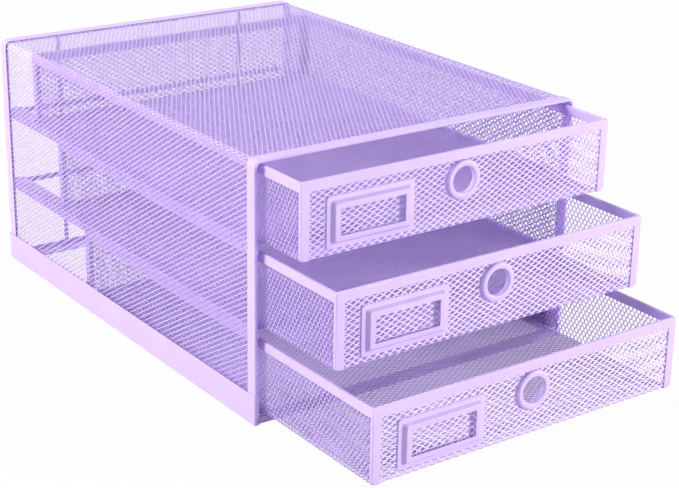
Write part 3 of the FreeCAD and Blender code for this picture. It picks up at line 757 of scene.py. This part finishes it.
class DRAWERS_OT_label_holders(bpy.types.Operator):
    """Stamps the label holder of each drawer"""
    bl_idname = "drawers.label_holders"
    bl_label = "Label holders"

    def drawn_in(self, bm, edges, middle, old, new, depth):
        """Carries a rounded rectangle on to the next one, each given as (width, height, corner radius)."""
        made = bmesh.ops.extrude_edge_only(bm, edges=edges)["geom"]
        for vert in verts_in(made):
            for axis, index in ((0, 0), (2, 1)):
                side = math.copysign(1, vert.co[axis] - middle[axis])
                round_from = middle[axis] + side * (old[index] / 2 - old[2])
                round_to = middle[axis] + side * (new[index] / 2 - new[2])
                vert.co[axis] = round_to + (vert.co[axis] - round_from) * new[2] / old[2]
        bmesh.ops.translate(bm, verts=verts_in(made), vec=Y * depth)
        return edges_in(made)

    def execute(self, context):
        sizes = context.scene.drawers_fittings
        for drawer in DRAWERS:
            low, high = corners_of(f"{drawer}_label_holder")
            middle = (low + high) / 2
            width, height = high.x - low.x, high.z - low.z
            flange = sizes.label_flange * 2
            raised = flange + sizes.label_flank * 2
            ground = high.y - sizes.label_wall
            corner = sizes.label_corner
            spans = ((width, height), (width - flange, height - flange), (width - raised, height - raised),
                     (sizes.window_width, sizes.window_height))
            outlines = [(*span, corner * share_of) for span, share_of in zip(spans, LABEL_CORNERS)]
            bm = section([(low.x, ground, low.z), (high.x, ground, low.z), (high.x, ground, high.z),
                          (low.x, ground, high.z)], {index: corner for index in range(4)})
            bmesh.ops.delete(bm, geom=bm.faces[:], context="FACES_ONLY")
            edges = bm.edges[:]
            for old, new, depth in zip(outlines, outlines[1:], (0, low.y - ground, 0)):
                edges = self.drawn_in(bm, edges, middle, old, new, depth)
            bmesh.ops.recalc_face_normals(bm, faces=bm.faces)
            bm.normal_update()
            if sum(face.normal.y * face.calc_area() for face in bm.faces) > 0:
                bmesh.ops.reverse_faces(bm, faces=bm.faces)
            bmesh.ops.bevel(bm, geom=sharp_edges(bm, PRESSED), offset=sizes.label_bend, offset_type="OFFSET",
                            segments=3, profile=0.5, affect="EDGES", material=-1)
            bmesh.ops.solidify(bm, geom=bm.faces[:], thickness=sizes.label_wall)
            ease(bm, sizes.label_edge, VERY_SHARP)
            piece(f"{drawer}_label_frame", bm, drawer, FITTING_SLOT, [f"{drawer}_label_holder"])
        return {"FINISHED"}


class DRAWERS_OT_finger_rings(bpy.types.Operator):
    """Spins the ring in each drawer's finger hole"""
    bl_idname = "drawers.finger_rings"
    bl_label = "Finger rings"

    def execute(self, context):
        sizes = context.scene.drawers_fittings
        for drawer in DRAWERS:
            low, high = corners_of(f"{drawer}_finger_ring")
            centre = (low + high) / 2
            net_low, net_high = corners_of(f"{drawer}_mesh_front")
            tube = sizes.ring_inner + sizes.ring_wall
            bm = section([
                (sizes.ring_inner, low.y, centre.z),
                (sizes.ring_outer, low.y, centre.z),
                (sizes.ring_outer, net_low.y, centre.z),
                (tube, net_low.y, centre.z),
                (tube, net_high.y, centre.z),
                (sizes.ring_back, net_high.y, centre.z),
                (sizes.ring_back, high.y, centre.z),
                (sizes.ring_inner, high.y, centre.z),
            ], {0: sizes.ring_mouth, 1: sizes.ring_round, 6: sizes.ring_edge})
            bmesh.ops.delete(bm, geom=bm.faces[:], context="FACES_ONLY")
            bmesh.ops.spin(bm, geom=bm.verts[:] + bm.edges[:], cent=(0, low.y, centre.z), axis=Y,
                           angle=math.tau, steps=sizes.ring_steps, use_merge=True)
            bmesh.ops.remove_doubles(bm, verts=bm.verts, dist=WELD)
            bmesh.ops.recalc_face_normals(bm, faces=bm.faces)
            piece(f"{drawer}_finger_grip", bm, drawer, FITTING_SLOT, [f"{drawer}_finger_ring"])
        return {"FINISHED"}


# Stage

def seen_white(name, colour, glow):
    """A surface that the camera, mirrors and glass see as partly white, while it still takes shadows."""
    material = bpy.data.materials.new(name)
    material.use_nodes = True
    nodes, links = material.node_tree.nodes, material.node_tree.links
    nodes.clear()
    matt = nodes.new("ShaderNodeBsdfDiffuse")
    matt.inputs["Color"].default_value = (*colour, 1)
    light = nodes.new("ShaderNodeEmission")
    light.inputs["Strength"].default_value = 1
    mix = nodes.new("ShaderNodeMixShader")
    out = nodes.new("ShaderNodeOutputMaterial")
    glowing = nodes.new("ShaderNodeMath")
    glowing.operation = "MULTIPLY"
    glowing.inputs[1].default_value = glow
    links.new(direct_rays(nodes, links), glowing.inputs[0])
    links.new(glowing.outputs[0], mix.inputs["Fac"])
    links.new(matt.outputs[0], mix.inputs[1])
    links.new(light.outputs[0], mix.inputs[2])
    links.new(mix.outputs[0], out.inputs["Surface"])
    return material


def direct_rays(nodes, links):
    """A socket that is 1 for camera, glossy and transmission rays."""
    path = nodes.new("ShaderNodeLightPath")
    total = path.outputs["Is Camera Ray"]
    for kind in ("Is Glossy Ray", "Is Transmission Ray"):
        more = nodes.new("ShaderNodeMath")
        more.operation = "MAXIMUM"
        links.new(total, more.inputs[0])
        links.new(path.outputs[kind], more.inputs[1])
        total = more.outputs[0]
    return total


def area_lamp(name, spot, target, size, watts):
    """A soft lamp that faces a target."""
    data = bpy.data.lights.new(name, "AREA")
    data.shape = "DISK"
    data.size = size
    data.energy = watts
    lamp = bpy.data.objects.new(name, data)
    lamp.location = spot
    lamp.rotation_euler = (Vector(target) - Vector(spot)).to_track_quat("-Z", "Y").to_euler()
    bpy.context.scene.collection.objects.link(lamp)


class DRAWERS_OT_stage(bpy.types.Operator):
    """Sets the camera, the floor, the lamps and the surround"""
    bl_idname = "drawers.stage"
    bl_label = "Stage"

    def execute(self, context):
        look = context.scene.drawers_stage
        self.camera(context)
        bm = bmesh.new()
        bmesh.ops.create_grid(bm, x_segments=1, y_segments=1, size=look.floor_size / 2)
        mesh = bpy.data.meshes.new("floor")
        bm.to_mesh(mesh)
        bm.free()
        floor = bpy.data.objects.new("floor", mesh)
        context.scene.collection.objects.link(floor)
        mesh.materials.append(seen_white("pale floor", look.floor_colour, look.floor_glow))
        for name, (spot, target, size) in LAMPS.items():
            area_lamp(name.replace("_", " "), spot, target, size, getattr(look, name))
        self.surround(context, look.surround)
        context.scene.view_settings.view_transform = "Standard"
        return {"FINISHED"}

    def camera(self, context):
        """Stands the camera where the photograph was taken from."""
        yaw, pitch, roll = math.radians(CAMERA_YAW), math.radians(CAMERA_PITCH), math.radians(CAMERA_ROLL)
        ahead = Vector((math.sin(yaw) * math.cos(pitch), math.cos(yaw) * math.cos(pitch), -math.sin(pitch)))
        level = Vector((math.cos(yaw), -math.sin(yaw), 0))
        upright = level.cross(ahead)
        right = level * math.cos(roll) + upright * math.sin(roll)
        up = upright * math.cos(roll) - level * math.sin(roll)
        data = bpy.data.cameras.new("photo camera")
        data.sensor_width = FILM_WIDTH
        data.lens = CAMERA_LENS
        data.clip_end = CAMERA_REACH
        camera = bpy.data.objects.new("photo camera", data)
        turn = Matrix((right, up, -ahead)).transposed().to_4x4()
        camera.matrix_world = Matrix.Translation(CAMERA_SPOT) @ turn
        context.scene.collection.objects.link(camera)
        context.scene.camera = camera

    def surround(self, context, strength):
        """Even light from all round, with a white that only direct rays see."""
        world = bpy.data.worlds.new("surround")
        context.scene.world = world
        world.use_nodes = True
        nodes, links = world.node_tree.nodes, world.node_tree.links
        nodes.clear()
        even = nodes.new("ShaderNodeBackground")
        even.inputs["Color"].default_value = (1, 1, 1, 1)
        even.inputs["Strength"].default_value = strength
        white = nodes.new("ShaderNodeBackground")
        white.inputs["Color"].default_value = (1, 1, 1, 1)
        white.inputs["Strength"].default_value = 1
        mix = nodes.new("ShaderNodeMixShader")
        out = nodes.new("ShaderNodeOutputWorld")
        links.new(direct_rays(nodes, links), mix.inputs["Fac"])
        links.new(even.outputs[0], mix.inputs[1])
        links.new(white.outputs[0], mix.inputs[2])
        links.new(mix.outputs[0], out.inputs["Surface"])


class DRAWERS_PT_panel(bpy.types.Panel):
    """Lists the settings and the steps of the model"""
    bl_idname = "DRAWERS_PT_panel"
    bl_label = "Mesh Drawers"
    bl_space_type = "VIEW_3D"
    bl_region_type = "UI"
    bl_category = "Mesh Drawers"

    def draw(self, context):
        for name in SETTINGS:
            box = self.layout.box()
            group = getattr(context.scene, name)
            for key in group.__annotations__:
                box.prop(group, key)
        for step in STEPS:
            self.layout.operator(step.bl_idname)


SETTINGS = {
    "drawers_sheet": ExpandedSheetSizes,
    "drawers_strips": StripSizes,
    "drawers_fittings": FittingSizes,
    "drawers_paint": PaintLook,
    "drawers_stage": StageLook,
}
STEPS = (
    DRAWERS_OT_stage,
    DRAWERS_OT_case_sheet,
    DRAWERS_OT_case_frames,
    DRAWERS_OT_base,
    DRAWERS_OT_rails,
    DRAWERS_OT_trays,
    DRAWERS_OT_rims,
    DRAWERS_OT_fronts,
    DRAWERS_OT_label_holders,
    DRAWERS_OT_finger_rings,
)


def register():
    for group in SETTINGS.values():
        bpy.utils.register_class(group)
    for step in STEPS:
        bpy.utils.register_class(step)
    bpy.utils.register_class(DRAWERS_PT_panel)
    for name, group in SETTINGS.items():
        setattr(bpy.types.Scene, name, PointerProperty(type=group))


def unregister():
    for name in SETTINGS:
        delattr(bpy.types.Scene, name)
    bpy.utils.unregister_class(DRAWERS_PT_panel)
    for step in reversed(STEPS):
        bpy.utils.unregister_class(step)
    for group in reversed(list(SETTINGS.values())):
        bpy.utils.unregister_class(group)


def main():
    register()
    bpy.ops.drawers.stage()
    bpy.ops.drawers.case_sheet()
    bpy.ops.drawers.case_frames()
    bpy.ops.drawers.base()
    bpy.ops.drawers.rails()
    bpy.ops.drawers.trays()
    bpy.ops.drawers.rims()
    bpy.ops.drawers.fronts()
    bpy.ops.drawers.label_holders()
    bpy.ops.drawers.finger_rings()


if __name__ == "__main__":
    main()
